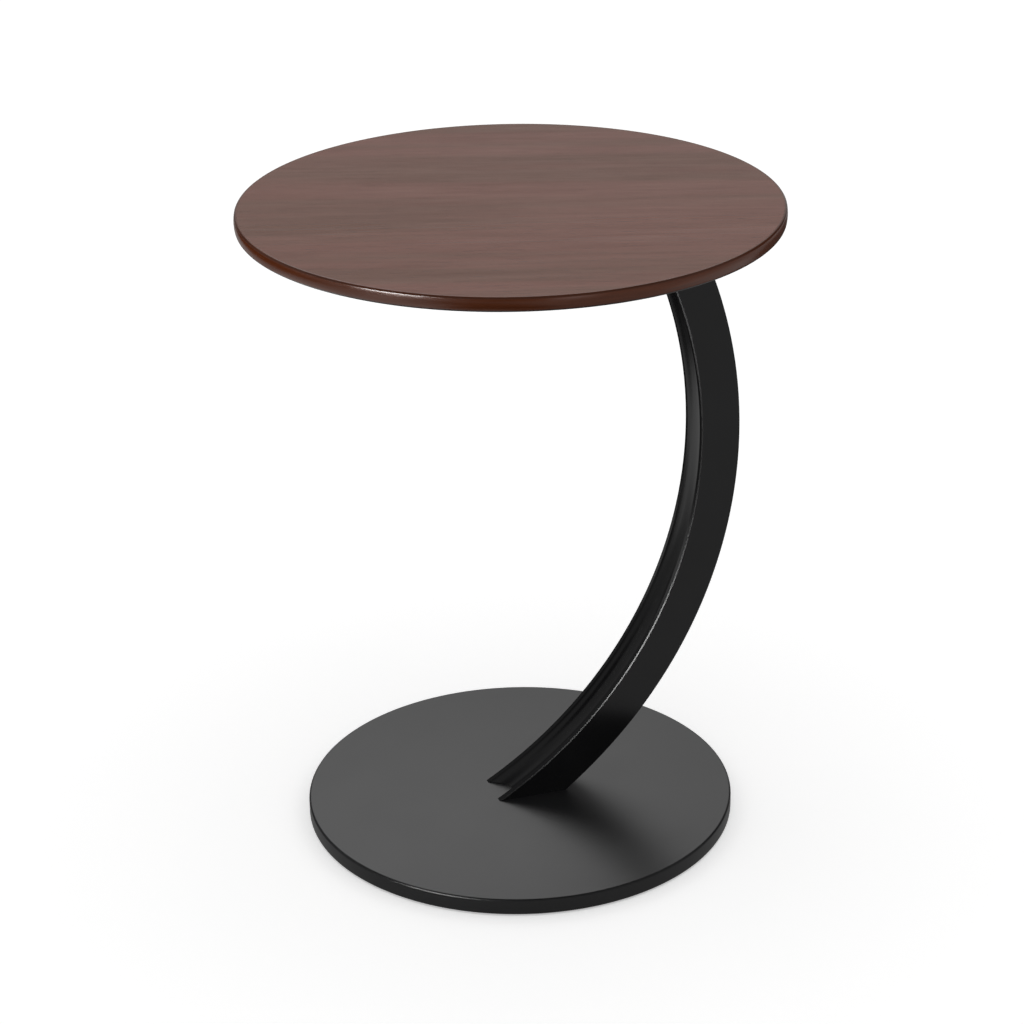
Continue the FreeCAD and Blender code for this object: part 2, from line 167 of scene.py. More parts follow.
# In the looks below, a noise is cycles per metre along x, y, z, then detail and roughness,
# a list of weights starts with the plain value, and a relief is strength and depth in metres.
veneerLook = {
    "fixed": {"Specular IOR Level": 0.0, "Coat IOR": 1.5, "Coat Roughness": 0.24},
    "grainTurn": math.radians(17.0),  # grain runs across the picture
    "red": (0.147, 0.0388, 0.0181),
    "grey": (0.124, 0.0416, 0.0193),
    "redRange": (0.36, 0.64),
    "drift": ((3.0, 9.0, 1.0), 1.0, 0.5),
    "sway": (0.0, 0.0018, 0.0),  # how far the drift bends the grain
    "figure": ((2.4, 38.0, 1.0), 1.2, 0.5),
    "streak": ((11.0, 84.0, 1.0), 3.0, 0.6),
    "fibre": ((18.0, 320.0, 1.0), 2.0, 0.6),
    "pore": ((60.0, 1500.0, 1.0), 1.0, 0.5),
    "poreRange": (0.60, 0.72),
    "poreColour": (0.03, 0.009, 0.005),
    "poreShare": 0.35,
    "shade": (0.65, 0.34, 0.36),  # by streak and fibre
    "roughness": (0.45, 0.20),  # by streak
    "sheen": (0.47, 0.34, 0.28, 0.26, -0.10),  # by streak, fibre, figure and pore
    "fibreHeight": 0.3,
    "relief": (0.3, 0.00005),
}


def walnutVeneer():
    look = veneerLook
    material, shader, place = newMaterial("walnutVeneer", look)
    grain = place.swung(look["grainTurn"])
    drift = grain.noise(*look["drift"])
    wavy = grain.node("ShaderNodeVectorMath", {"operation": "MULTIPLY_ADD"},
                      {0: drift, 1: look["sway"], 2: grain})
    figure, streak, fibre = [wavy.noise(*look[name]) for name in ("figure", "streak", "fibre")]
    pore = grain.noise(*look["pore"]).between(*look["poreRange"])
    ground = figure.between(*look["redRange"]).mixColour(rgb(look["grey"]), rgb(look["red"]))
    toned = ground.scaled(weighed(look["shade"], streak, fibre))
    feed(shader, colour=(pore * look["poreShare"]).mixColour(toned, rgb(look["poreColour"])),
         roughness=weighed(look["roughness"], streak),
         coat=weighed(look["sheen"], streak, fibre, figure, pore),
         normal=bump(fibre * look["fibreHeight"] - pore, *look["relief"]))
    return material


bandLook = {
    "fixed": {"IOR": 1.5},
    "light": (0.118, 0.0280, 0.0070),
    "dark": (0.084, 0.0185, 0.0040),
    "streak": ((14.0, 14.0, 420.0), 3.0, 0.55),
    "fibre": ((50.0, 50.0, 2200.0), 1.0, 0.5),
    "streakShare": 0.75,
    "range": (0.3, 0.7),
    "upperStart": (0.4984, 0.4990),  # painted shade darkens both edges: heights, then depth
    "upperEnd": (0.4998, 0.49996),
    "upperShade": 0.42,
    "lowerShade": (0.4903, 0.4916, 0.28, 1.0),
    "roughness": (0.20, 0.06),  # by streak
    "relief": (0.10, 0.00002),
}


def lacqueredBand():
    look = bandLook
    material, shader, place = newMaterial("lacqueredBand", look)
    streak, fibre = [place.noise(*look[name]) for name in ("streak", "fibre")]
    wood = streak.blended(fibre, look["streakShare"]).between(*look["range"]).tint(look)
    height = place.split()[2]
    # painted shade: the band's colour darkens towards its upper and lower edges
    arris = height.between(*look["upperStart"]) - height.between(*look["upperEnd"])
    edgeShade = (1.0 - arris * look["upperShade"]) * height.between(*look["lowerShade"])
    feed(shader, colour=wood.scaled(edgeShade), roughness=weighed(look["roughness"], streak),
         normal=bump(fibre, *look["relief"]))
    return material


backingLook = {
    "fixed": {"IOR": 1.4},
    "light": (0.150, 0.062, 0.034),
    "dark": (0.090, 0.036, 0.021),
    "grain": ((10.0, 260.0, 1.0), 3.0, 0.6),
    "range": (0.3, 0.7),
    "roughness": (0.52, 0.12),
    "relief": (0.2, 0.00005),
}


def backingVeneer():
    material, shader, place = newMaterial("backingVeneer", backingLook)
    feedPattern(shader, place.swung(veneerLook["grainTurn"]).noise(*backingLook["grain"]), backingLook)
    return material


boardLook = {
    "fixed": {"IOR": 1.4},
    "light": (0.45, 0.33, 0.20),
    "dark": (0.33, 0.23, 0.135),
    "fleck": ((900.0, 900.0, 900.0), 3.0, 0.7),
    "range": (0.3, 0.7),
    "roughness": (0.8, 0.1),
    "relief": (0.3, 0.0001),
}


def rawFibreboard():
    material, shader, place = newMaterial("rawFibreboard", boardLook)
    feedPattern(shader, place.noise(*boardLook["fleck"]), boardLook)
    return material


paintLook = {
    "fixed": {"IOR": 1.5},
    "dark": (0.0042, 0.0042, 0.0046),
    "light": (0.0075, 0.0075, 0.0080),
    "cloud": ((22.0, 22.0, 22.0), 3.0, 0.55),
    "peel": ((900.0, 900.0, 900.0), 1.0, 0.5),
    "speck": ((2600.0, 2600.0, 2600.0), 1.0, 0.5),
    "cloudShare": 0.6,
    "range": (0.3, 0.7),
    "peelShare": 0.7,
    "columnPaint": {"roughness": (0.15, 0.05, 0.02), "relief": (0.03, 0.00003)},  # by cloud and speck
    "basePaint": {"roughness": (0.315, 0.05, 0.02), "relief": (0.12, 0.00003)},
}


def blackPaint(name):
    look = paintLook
    material, shader, place = newMaterial(name, look)
    cloud, peel, speck = [place.noise(*look[pattern]) for pattern in ("cloud", "peel", "speck")]
    feed(shader, colour=cloud.blended(speck, look["cloudShare"]).between(*look["range"]).tint(look),
         roughness=weighed(look[name]["roughness"], cloud, speck),
         normal=bump(peel.blended(speck, look["peelShare"]), *look[name]["relief"]))
    return material


zincLook = {
    "fixed": {"Metallic": 1.0},
    "brightZinc": {"light": (0.62, 0.63, 0.64), "dark": (0.44, 0.45, 0.47)},
    "blackZinc": {"light": (0.075, 0.075, 0.08), "dark": (0.035, 0.035, 0.038)},
    "scratch": ((500.0, 500.0, 6000.0), 2.0, 0.6),
    "blotch": ((300.0, 300.0, 300.0), 2.0, 0.5),
    "range": (0.3, 0.7),
    "roughness": (0.28, 0.16),  # by scratch
    "relief": (0.15, 0.00002),
}


def zincPlating(name):
    look = zincLook
    material, shader, place = newMaterial(name, look)
    scratch, blotch = [place.noise(*look[pattern]) for pattern in ("scratch", "blotch")]
    feed(shader, colour=blotch.between(*look["range"]).tint(look[name]),
         roughness=weighed(look["roughness"], scratch), normal=bump(scratch, *look["relief"]))
    return material


foamLook = {
    "fixed": {"IOR": 1.4},
    "light": (0.040, 0.040, 0.041),
    "dark": (0.014, 0.014, 0.015),
    "cells": 2200.0,  # per metre
    "range": (0.15, 0.6),
    "roughness": (0.85, 0.1),
    "relief": (0.4, 0.0002),
}


def padFoam():
    look = foamLook
    material, shader, place = newMaterial("padFoam", look)
    cells = place.node("ShaderNodeTexVoronoi", {"feature": "F1"}, {"Vector": place, "Scale": look["cells"]})
    feedPattern(shader, cells, look)
    return material


finish = {
    "veneer": walnutVeneer(),
    "band": lacqueredBand(),
    "backing": backingVeneer(),
    "board": rawFibreboard(),
    "columnPaint": blackPaint("columnPaint"),
    "basePaint": blackPaint("basePaint"),
    "zinc": zincPlating("brightZinc"),
    "blackZinc": zincPlating("blackZinc"),
    "foam": padFoam(),
}
print("finishes made:", len(finish))


def newPiece(name, mesh, material=None):
    piece = bpy.data.objects.new(name, mesh)
    bpy.context.scene.collection.objects.link(piece)
    if material:
        mesh.materials.append(material)
    return piece


def plainMesh(piece):
    # swaps live modifiers for their result
    graph = bpy.context.evaluated_depsgraph_get()
    made = bpy.data.meshes.new_from_object(piece.evaluated_get(graph))
    old = piece.data
    piece.modifiers.clear()
    piece.data = made
    made.name = piece.name
    bpy.data.meshes.remove(old)


def meshFrom(shape, name):
    bmesh.ops.recalc_face_normals(shape, faces=shape.faces)
    mesh = bpy.data.meshes.new(name)
    shape.to_mesh(mesh)
    shape.free()
    return mesh


def turned(name, profile, segments, ring=False):
    # revolves (radius, height) points about Z; a ring's profile closes on itself, a solid's ends at radius 0
    shape = bmesh.new()
    angles = [2.0 * math.pi * step / segments for step in range(segments)]
    rows = []
    for radius, height in profile:
        around = angles if radius else angles[:1]
        rows.append([shape.verts.new((radius * math.cos(a), radius * math.sin(a), height)) for a in around])
    pairs = list(zip(rows, rows[1:]))
    if ring:
        pairs.append((rows[-1], rows[0]))
    for low, high in pairs:
        for step in range(segments):
            after = (step + 1) % segments
            corners = [low[step % len(low)], low[after % len(low)],
                       high[after % len(high)], high[step % len(high)]]
            shape.faces.new(list(dict.fromkeys(corners)))
    return meshFrom(shape, name)


def rounding(centre, radius, start, end, steps):
    # points on an arc, angles in degrees
    angles = [math.radians(start + (end - start) * step / steps) for step in range(steps + 1)]
    return [(centre[0] + radius * math.cos(a), centre[1] + radius * math.sin(a)) for a in angles]


def shadeByAngle(mesh, degrees=32.0):
    mesh.shade_smooth()
    mesh.set_sharp_from_angle(angle=math.radians(degrees))


def cutOut(piece, meshes):
    # takes the meshes' shapes out of the piece
    cutters = [newPiece(mesh.name, mesh) for mesh in meshes]
    for cutter in cutters:
        cut = piece.modifiers.new("cut", "BOOLEAN")
        cut.operation = "DIFFERENCE"
        cut.solver = "EXACT"
        cut.object = cutter
    plainMesh(piece)
    for cutter, mesh in zip(cutters, meshes):
        bpy.data.objects.remove(cutter)
        bpy.data.meshes.remove(mesh)


def drill(piece, holes, segments=48):
    # cuts upright holes: (x, y, low, high, radius)
    meshes = []
    for x, y, low, high, radius in holes:
        mesh = turned("cutter", [(0.0, low), (radius, low), (radius, high), (0.0, high)], segments)
        mesh.transform(Matrix.Translation((x, y, 0.0)))
        meshes.append(mesh)
    cutOut(piece, meshes)


def finishPiece(piece, node):
    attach(piece, "root")
    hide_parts(node)
    print("made", piece.name, len(piece.data.polygons), "faces")


def newTree(name, sizes):
    # a Geometry Nodes tree with named number inputs; returns a wire, the inputs and their identifiers
    tree = bpy.data.node_groups.new(name, "GeometryNodeTree")
    for direction in ("INPUT", "OUTPUT"):
        tree.interface.new_socket(name="Geometry", in_out=direction, socket_type="NodeSocketGeometry")
    keys = {}
    for label, value in sizes.items():
        kind = "NodeSocketInt" if isinstance(value, int) else "NodeSocketFloat"
        keys[label] = tree.interface.new_socket(name=label, in_out="INPUT", socket_type=kind).identifier
    wire = Wire(tree)
    wires = {given.socket.name: given for given in wire.node("NodeGroupInput").outputs()}
    return wire, wires, keys


def endTree(wire, shape, material):
    real = wire.node("GeometryNodeRealizeInstances", None, {0: shape})
    painted = wire.node("GeometryNodeSetMaterial", None, {"Geometry": real, "Material": material})
    wire.node("NodeGroupOutput", None, {0: painted})
    return wire.tree


def grow(piece, tree, keys, sizes):
    modifier = piece.modifiers.new(tree.name, "NODES")
    modifier.node_group = tree
    for label, value in sizes.items():
        modifier[keys[label]] = value
    plainMesh(piece)


veneerSizes = {"radius": 197.5 * mm, "high": 500.0 * mm, "thick": 0.8 * mm, "segments": 360}


def makeVeneer():
    size = veneerSizes
    radius, high = size["radius"], size["high"]
    low = high - size["thick"]
    mesh = turned("veneerSheet", [(0.0, low), (radius, low), (radius, high), (0.0, high)], size["segments"])
    shadeByAngle(mesh)
    finishPiece(newPiece("veneer_sheet", mesh, finish["veneer"]), "top_veneer")


bandSizes = {
    "inner": 197.55 * mm,
    "outer": 199.94 * mm,
    "low": 489.4 * mm,
    "high": veneerSizes["high"],
    "edge": 2.0 * mm,
    "crown": 11.0,  # degrees that the face leans at its edges
    "edgeSteps": 14,
    "faceSteps": 12,
    "segments": 360,
}


def makeBand():
    size = bandSizes
    inner, outer, low, high = size["inner"], size["outer"], size["low"], size["high"]
    edge, lean = size["edge"], size["crown"]
    middle = (low + high) / 2
    bow = (high - middle - edge) / math.sin(math.radians(lean)) + edge  # radius of the crowned face
    inset = (bow - edge) * math.cos(math.radians(lean)) - bow + outer
    lower = rounding((inset, low + edge), edge, -90, -lean, size["edgeSteps"])
    face = rounding((outer - bow, middle), bow, -lean, lean, size["faceSteps"])[1:-1]
    upper = rounding((inset, high - edge), edge, lean, 90, size["edgeSteps"])
    profile = [(inner, low), *lower, *face, *upper, (inner, high)]
    mesh = turned("edgeBand", profile, size["segments"], ring=True)
    shadeByAngle(mesh)
    finishPiece(newPiece("rim_band", mesh, finish["band"]), "edge_band")


makeVeneer()
makeBand()


overcut = 5.0 * mm  # how far a drill runs past a face
columnSizes = {
    "reach": 175.0 * mm,  # how far the back stands out
    "footSetback": 142.0 * mm,  # how far foot and head lie behind that
    "headSetback": 48.0 * mm,
    "foot": 14.0 * mm,
    "head": 484.4 * mm,
    "deep": 31.0 * mm,
    "half": 17.5 * mm,  # half the width
    "edge": 0.8 * mm,
    "flatSide": 0.97 * mm,  # narrow flats along the front edges
    "flatFront": 0.26 * mm,
    "grooveHalf": 13.0 * mm,
    "grooveDeep": 8.0 * mm,
    "rings": 161,
    "edgeSteps": 9,
    "grooveSteps": 40,
    "smooth": 12.0,  # degrees up to which edges are shaded smooth
    "holeInset": 10.0 * mm,  # from the back of foot and head
    "holeHalf": 9.0 * mm,
    "holeDeep": 10.5 * mm,
    "holeRadius": 3.05 * mm,
}


def holeX(end):
    # where the screw holes of the column's foot or head lie
    return columnSizes["reach"] - columnSizes[end + "Setback"] - columnSizes["holeInset"]


def archCurve():
    # circle of the column's back, through the heels of foot and head and out to the reach
    size = columnSizes
    foot, head, rise = size["footSetback"], size["headSetback"], size["head"] - size["foot"]
    chord = math.sqrt(foot * head * (rise ** 2 + (foot - head) ** 2))
    drop = foot * (rise ** 2 - head * (foot - head)) / (foot * rise + chord)
    backRadius = (drop ** 2 + foot ** 2) / (2.0 * foot)
    inputs = {"Arch X": size["reach"] - backRadius, "Arch Z": size["foot"] + drop,
              "Foot Z": size["foot"], "Head Z": size["head"], "Rings": size["rings"]}
    return backRadius, inputs


def sectionLoop(back):
    # the column's cross-section: x is the distance from the arch's centre, y runs across
    size = columnSizes
    front, side, edge = back - size["deep"], size["half"], size["edge"]
    flat, land = front + size["flatSide"], side - size["flatFront"]
    points = [(front, -land), (flat, -side)]
    points += rounding((back - edge, edge - side), edge, 270, 360, size["edgeSteps"])
    points += rounding((back - edge, side - edge), edge, 0, 90, size["edgeSteps"])
    points += [(flat, side), (front, land)]
    deep = size["grooveDeep"]
    groove = (size["grooveHalf"] ** 2 + deep ** 2) / (2.0 * deep)
    spread = math.degrees(math.acos((groove - deep) / groove))
    points += rounding((front + deep - groove, 0.0), groove, spread, -spread, size["grooveSteps"])
    mesh = bpy.data.meshes.new("columnSection")
    count = len(points)
    mesh.from_pydata([(x, y, 0.0) for x, y in points], [(i, (i + 1) % count) for i in range(count)], [])
    return mesh


def archTree(inputs):
    # sweeps the section up a straight line, then bends each point onto its own arc between foot and head
    wire, size, keys = newTree("archedColumn", inputs)
    section = wire.node("GeometryNodeMeshToCurve", None, {0: size["Geometry"]})
    line = wire.node("GeometryNodeCurvePrimitiveLine", None, {"Start": (0, 0, 0), "End": (0, 0, 1)})
    rail = wire.node("GeometryNodeResampleCurve", None, {"Curve": line, "Count": size["Rings"]})
    swept = wire.node("GeometryNodeCurveToMesh", None,
                      {"Curve": rail, "Profile Curve": section, "Fill Caps": True})
    radius, across, along = wire.node("GeometryNodeInputPosition").split()
    low, high = [wire.maths("ARCSINE", (size[level] - size["Arch Z"]) / radius)
                 for level in ("Foot Z", "Head Z")]
    angle = low + (high - low) * along
    x = size["Arch X"] + radius * wire.maths("COSINE", angle)
    z = size["Arch Z"] + radius * wire.maths("SINE", angle)
    bent = wire.node("ShaderNodeCombineXYZ", None, {0: x, 1: across, 2: z})
    placed = wire.node("GeometryNodeSetPosition", None, {"Geometry": swept, "Position": bent})
    return endTree(wire, placed, finish["columnPaint"]), keys


def makeColumn():
    size = columnSizes
    backRadius, inputs = archCurve()
    piece = newPiece("arched_column", sectionLoop(backRadius))
    grow(piece, *archTree(inputs), inputs)
    foot, head, deep, radius = size["foot"], size["head"], size["holeDeep"], size["holeRadius"]
    holes = []
    for y in (-size["holeHalf"], size["holeHalf"]):
        holes.append((holeX("foot"), y, foot - overcut, foot + deep, radius))
        holes.append((holeX("head"), y, head - deep, head + overcut, radius))
    drill(piece, holes)
    shadeByAngle(piece.data, size["smooth"])
    finishPiece(piece, "column")


makeColumn()


baseSizes = {
    "radius": 167.5 * mm,
    "low": 1.0 * mm,
    "high": columnSizes["foot"],
    "edge": 1.8 * mm,
    "edgeSteps": 10,
    "segments": 360,
    "hole": 3.3 * mm,
    "sink": 7.0 * mm,
    "sinkTop": 7.7 * mm,
}


def makeBase():
    size = baseSizes
    radius, edge, low, high = size["radius"], size["edge"], size["low"], size["high"]
    lower = rounding((radius - edge, low + edge), edge, -90, 0, size["edgeSteps"])
    upper = rounding((radius - edge, high - edge), edge, 0, 90, size["edgeSteps"])
    mesh = turned("basePlate", [(0.0, low), *lower, *upper, (0.0, high)], size["segments"])
    piece = newPiece("base_disc", mesh, finish["basePaint"])
    holes = []
    for y in (-columnSizes["holeHalf"], columnSizes["holeHalf"]):
        holes.append((holeX("foot"), y, low - overcut, size["sinkTop"], size["sink"]))
        holes.append((holeX("foot"), y, low - overcut, high + overcut, size["hole"]))
    drill(piece, holes)
    shadeByAngle(piece.data)
    finishPiece(piece, "base_plate")


padSizes = {
    "ring": {"Ring radius": 149.5 * mm, "Pads": 6},
    "radius": 11.0 * mm,
    "thick": 1.0 * mm,
    "edge": 0.3 * mm,
    "edgeSteps": 4,
    "segments": 64,
}


def padTree():
    wire, size, keys = newTree("padRing", padSizes["ring"])
    ring = wire.node("GeometryNodeMeshCircle", None,
                     {"Vertices": size["Pads"], "Radius": size["Ring radius"]})
    pads = wire.node("GeometryNodeInstanceOnPoints", None, {"Points": ring, "Instance": size["Geometry"]})
    return endTree(wire, pads, finish["foam"]), keys


def makePads():
    size = padSizes
    radius, thick, edge = size["radius"], size["thick"], size["edge"]
    lower = rounding((radius - edge, edge), edge, -90, 0, size["edgeSteps"])
    profile = [(0.0, 0.0), *lower, (radius, thick), (0.0, thick)]
    piece = newPiece("foam_pads", turned("onePad", profile, size["segments"]))
    grow(piece, *padTree(), size["ring"])
    shadeByAngle(piece.data)
    finishPiece(piece, "floor_pads")


makeBase()
makePads()


screwSizes = {
    "grid": {"Span X": 192.0 * mm, "Span Y": 62.0 * mm, "Middle X": 29.0 * mm,
             "Plate Z": columnSizes["head"], "Screws X": 3, "Screws Y": 2},
    "head": 4.0 * mm,
    "rim": 0.15 * mm,
    "shank": 2.0 * mm,
    "cone": 2.0 * mm,
    "length": 12.0 * mm,
    "point": 3.0 * mm,
    "segments": 40,
    "recess": 2.1 * mm,  # the cross recess, which narrows as it goes in
    "arm": 0.55 * mm,
    "depth": 1.3 * mm,
    "lead": 1.0 * mm,  # how far before the head its cutter starts
    "taper": 0.62,
}


def screwTree():
    wire, size, keys = newTree("screwGrid", screwSizes["grid"])
    grid = wire.node("GeometryNodeMeshGrid", None,
                     {"Size X": size["Span X"], "Size Y": size["Span Y"],
                      "Vertices X": size["Screws X"], "Vertices Y": size["Screws Y"]})
    shift = wire.node("ShaderNodeCombineXYZ", None, {0: size["Middle X"], 2: size["Plate Z"]})
    placed = wire.node("GeometryNodeSetPosition", None, {"Geometry": grid, "Offset": shift})
    screws = wire.node("GeometryNodeInstanceOnPoints", None,
                       {"Points": placed, "Instance": size["Geometry"]})
    return endTree(wire, screws, finish["blackZinc"]), keys


def crossCutter():
    # a plus-shaped prism that tapers to its top
    size = screwSizes
    reach, arm, taper = size["recess"], size["arm"], size["taper"]
    quarter = [(reach, -arm), (reach, arm), (arm, arm)]
    outline = []
    for turn in range(4):
        outline += quarter
        quarter = [(-y, x) for x, y in quarter]
    shape = bmesh.new()
    lower = [shape.verts.new((x, y, -size["lead"])) for x, y in outline]
    upper = [shape.verts.new((x * taper, y * taper, size["depth"])) for x, y in outline]
    for number in range(len(outline)):
        after = (number + 1) % len(outline)
        shape.faces.new([lower[number], lower[after], upper[after], upper[number]])
    shape.faces.new(lower[::-1])
    shape.faces.new(upper)
    return meshFrom(shape, "crossCutter")


def makeScrews():
    size = screwSizes
    head, rim, shank, length = size["head"], size["rim"], size["shank"], size["length"]
    profile = [(0.0, 0.0), (head - rim, 0.0), (head, rim), (shank, size["cone"]),
               (shank, length - size["point"]), (0.0, length)]
    piece = newPiece("plate_screws", turned("oneScrew", profile, size["segments"]))
    cutOut(piece, [crossCutter()])
    grow(piece, *screwTree(), size["grid"])
    shadeByAngle(piece.data)
    finishPiece(piece, "top_screws")


makeScrews()


keptNodes = {"backing_veneer": "backing", "top_core": "board", "top_plate": "columnPaint",
             "head_screws": "zinc", "base_bolts": "zinc", "lock_washers": "zinc", "flat_washers": "zinc"}
for node, key in keptNodes.items():
    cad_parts[node].material_slots[0].material = finish[key]
print("kept nodes painted:", len(keptNodes))


cameraSizes = {
    "place": (-0.55667, -1.81757, 1.12320),
    "azimuth": math.radians(16.95),
    "pitch": 0.4289,
    "roll": 0.0168,
    "focal": 2749.2,  # in pixels, and so is the frame's width
    "frame": 1024.0,
    "sensor": 36.0,
    "clip": (0.05, 60.0),
}


def makeCamera():
    size = cameraSizes
    ahead = Vector((math.sin(size["azimuth"]), math.cos(size["azimuth"]), 0.0))
    right = Vector((math.cos(size["azimuth"]), -math.sin(size["azimuth"]), 0.0))
    up = Vector((0.0, 0.0, 1.0))
    look = ahead * math.cos(size["pitch"]) - up * math.sin(size["pitch"])
    down = -(up * math.cos(size["pitch"]) + ahead * math.sin(size["pitch"]))
    cosine, sine = math.cos(size["roll"]), math.sin(size["roll"])
    across = right * cosine + down * sine
    below = down * cosine - right * sine
    data = bpy.data.cameras.new("camera")
    data.sensor_width = size["sensor"]
    data.lens = size["focal"] * size["sensor"] / size["frame"]
    data.clip_start, data.clip_end = size["clip"]
    camera = bpy.data.objects.new("camera", data)
    bpy.context.scene.collection.objects.link(camera)
    turn = Matrix((across, -below, -look)).transposed().to_4x4()
    camera.matrix_world = Matrix.Translation(size["place"]) @ turn
    bpy.context.scene.camera = camera


makeCamera()


viewSide = cameraSizes["azimuth"]
towardCamera = Vector((-math.sin(viewSide), -math.cos(viewSide), 0.0))
cameraRight = Vector((math.cos(viewSide), -math.sin(viewSide), 0.0))
aimHeight = 0.3  # metres, as all of the studio; lamps and cards are set round this height and face it


def fromTable(side, rise, far, height=aimHeight):
    # a point seen from the table's middle; side 0 is the camera's, positive to its right
    level = towardCamera * math.cos(side) + cameraRight * math.sin(side)
    return Vector((0.0, 0.0, height)) + (level * math.cos(rise) + Vector((0.0, 0.0, math.sin(rise)))) * far


def facingTable(place):
    aim = (Vector((0.0, 0.0, aimHeight)) - place).to_track_quat("-Z", "Y").to_matrix().to_4x4()
    return Matrix.Translation(place) @ aim


def stagePiece(name, corners, faces, material):
    mesh = bpy.data.meshes.new(name)
    mesh.from_pydata(corners, [], faces)
    piece = newPiece(name, mesh, material)
    return piece


def stagePlane(name, width, height, matrix, material):
    corners = [(-width / 2, -height / 2, 0), (width / 2, -height / 2, 0),
               (width / 2, height / 2, 0), (-width / 2, height / 2, 0)]
    return stagePiece(name, [matrix @ Vector(corner) for corner in corners], [(0, 1, 2, 3)], material)


def lightOnly(source, names):
    # the source's light reaches the named pieces alone
    group = bpy.data.collections.new(source.name + "Receivers")
    for name in names:
        group.objects.link(bpy.data.objects[name])
    source.light_linking.receiver_collection = group


def reflectionOnly(piece):
    # a card that shows only in gloss
    piece.visible_camera = False
    piece.visible_diffuse = False
    piece.visible_shadow = False
    piece.visible_transmission = False
    return piece


def bareMaterial(name):
    # a material without nodes
    material = bpy.data.materials.new(name)
    material.use_nodes = True
    material.node_tree.nodes.clear()
    return material, Wire(material.node_tree)


def glowMaterial(name, strength):
    material, wire = bareMaterial(name)
    glow = wire.node("ShaderNodeEmission", None, {"Color": rgb((1, 1, 1)), "Strength": strength})
    wire.node("ShaderNodeOutputMaterial", None, {"Surface": glow})
    return material


def rayKinds(wire):
    # camera rays and those that pass through something see white; gloss has its own surroundings
    rays = {ray.socket.name: ray for ray in wire.node("ShaderNodeLightPath").outputs()}
    return rays["Is Camera Ray"] + rays["Is Transmission Ray"], rays["Is Glossy Ray"]


floorLook = {"size": 14.0, "drop": 0.2 * mm, "tone": 0.25, "white": 0.92, "show": 0.40, "mirror": 0.20}


def makeFloor():
    look = floorLook
    material, wire = bareMaterial("paleFloor")
    white, glossy = rayKinds(wire)
    tone = look["tone"] + white * (look["white"] - look["tone"])
    lit = wire.node("ShaderNodeBsdfDiffuse", None, {"Color": tone})
    show = white * look["show"] + glossy * look["mirror"]
    glow = wire.node("ShaderNodeEmission", None, {"Color": show, "Strength": 1.0})
    both = wire.node("ShaderNodeAddShader", None, {0: lit, 1: glow})
    wire.node("ShaderNodeOutputMaterial", None, {"Surface": both})
    below = Matrix.Translation((0.0, 0.0, -look["drop"]))
    stagePlane("floor", look["size"], look["size"], below, material)


# Ranges of a direction's parts: right and away as the camera sees them, z upwards; further values
# are the levels at both ends, 0 and 1 where they aren't given.
worldLook = {
    "sky": (0.0, 1.0, 0.06, 1.00),
    "sides": 0.25,
    "dark": 0.04,
    "behindCamera": (-0.98, -0.90, 0.10, 1.0),
    "roofZ": (0.68, 0.84),
    "ceiling": 0.04,
    "wallLeft": (-0.45, -0.20),  # the bright back wall
    "wallRight": (0.25, 0.50, 1.0, 0.0),
    "wallAway": (0.10, 0.40),
    "wallZ": (0.39, 0.50),
    "footZ": (0.24, 0.36, 0.47, 0.33),
    "footRight": (-0.15, 0.15, 0.93, 1.07),
    "headRight": (-0.05, 0.35, 1.02, 0.45),
    "headGlow": 2.06,
    "leftSide": (-0.60, -0.35, 1.0, 0.0),  # dark corners beside it
    "leftAway": (0.45, 0.75),
    "rightSide": (0.35, 0.60),
    "rightAway": (0.20, 0.50),
    "lowZ": (0.05, 0.11, 1.0, 0.0),
    "lowAway": (0.10, 0.30),
    "windowLeft": (0.22, 0.34),  # a window behind the camera
    "windowRight": (0.46, 0.58, 1.0, 0.0),
    "windowAway": (-0.80, -0.65, 1.0, 0.0),
    "windowZ": (0.14, 0.24, 1.30, 0.0),
}


def makeWorld():
    # white to the camera, a studio's walls in gloss, a soft overhead sky for the rest
    look = worldLook
    world = bpy.data.worlds.new("studio")
    bpy.context.scene.world = world
    world.use_nodes = True
    world.node_tree.nodes.clear()
    wire = Wire(world.node_tree)
    white, glossy = rayKinds(wire)
    x, y, z = wire.node("ShaderNodeTexCoord", output="Generated").split()
    away = x * -towardCamera.x + y * -towardCamera.y
    right = x * cameraRight.x + y * cameraRight.y
    wallWidth = right.between(*look["wallLeft"]) * right.between(*look["wallRight"])
    wall = wallWidth * away.between(*look["wallAway"])
    wallFoot = z.between(*look["footZ"]) * right.between(*look["footRight"])
    wallHead = right.between(*look["headRight"]) * look["headGlow"]
    wallShade = z.between(*look["wallZ"], wallFoot, wallHead)
    leftSide = right.between(*look["leftSide"])
    left = leftSide * away.between(*look["leftAway"])
    low = leftSide * away.between(*look["lowAway"]) * z.between(*look["lowZ"])
    farRight = right.between(*look["rightSide"]) * away.between(*look["rightAway"])
    shut = 1.0 - (1.0 - left) * (1.0 - farRight) * (1.0 - low)
    sides = look["sides"] - shut * (look["sides"] - look["dark"])
    shaded = sides * away.between(*look["behindCamera"])
    window = right.between(*look["windowLeft"]) * right.between(*look["windowRight"])
    light = window * away.between(*look["windowAway"]) * z.between(*look["windowZ"])
    around = shaded + wall * (wallShade - shaded) + light
    mirrored = around + z.between(*look["roofZ"]) * (look["ceiling"] - around)
    seen = white + glossy * mirrored + (1.0 - white - glossy) * z.between(*look["sky"])
    ground = wire.node("ShaderNodeBackground", None, {"Color": seen, "Strength": 1.0})
    wire.node("ShaderNodeOutputWorld", None, {"Surface": ground})


lampSizes = {
    "keyLight": {"side": math.radians(-75.0), "power": 9.5},
    "fillLight": {"side": math.radians(55.0), "power": 3.0},
    "rise": math.radians(17.0),
    "far": 1.6,
    "size": 0.7,
    "seenBy": ["veneer_sheet", "rim_band", "arched_column", "base_disc"],
}


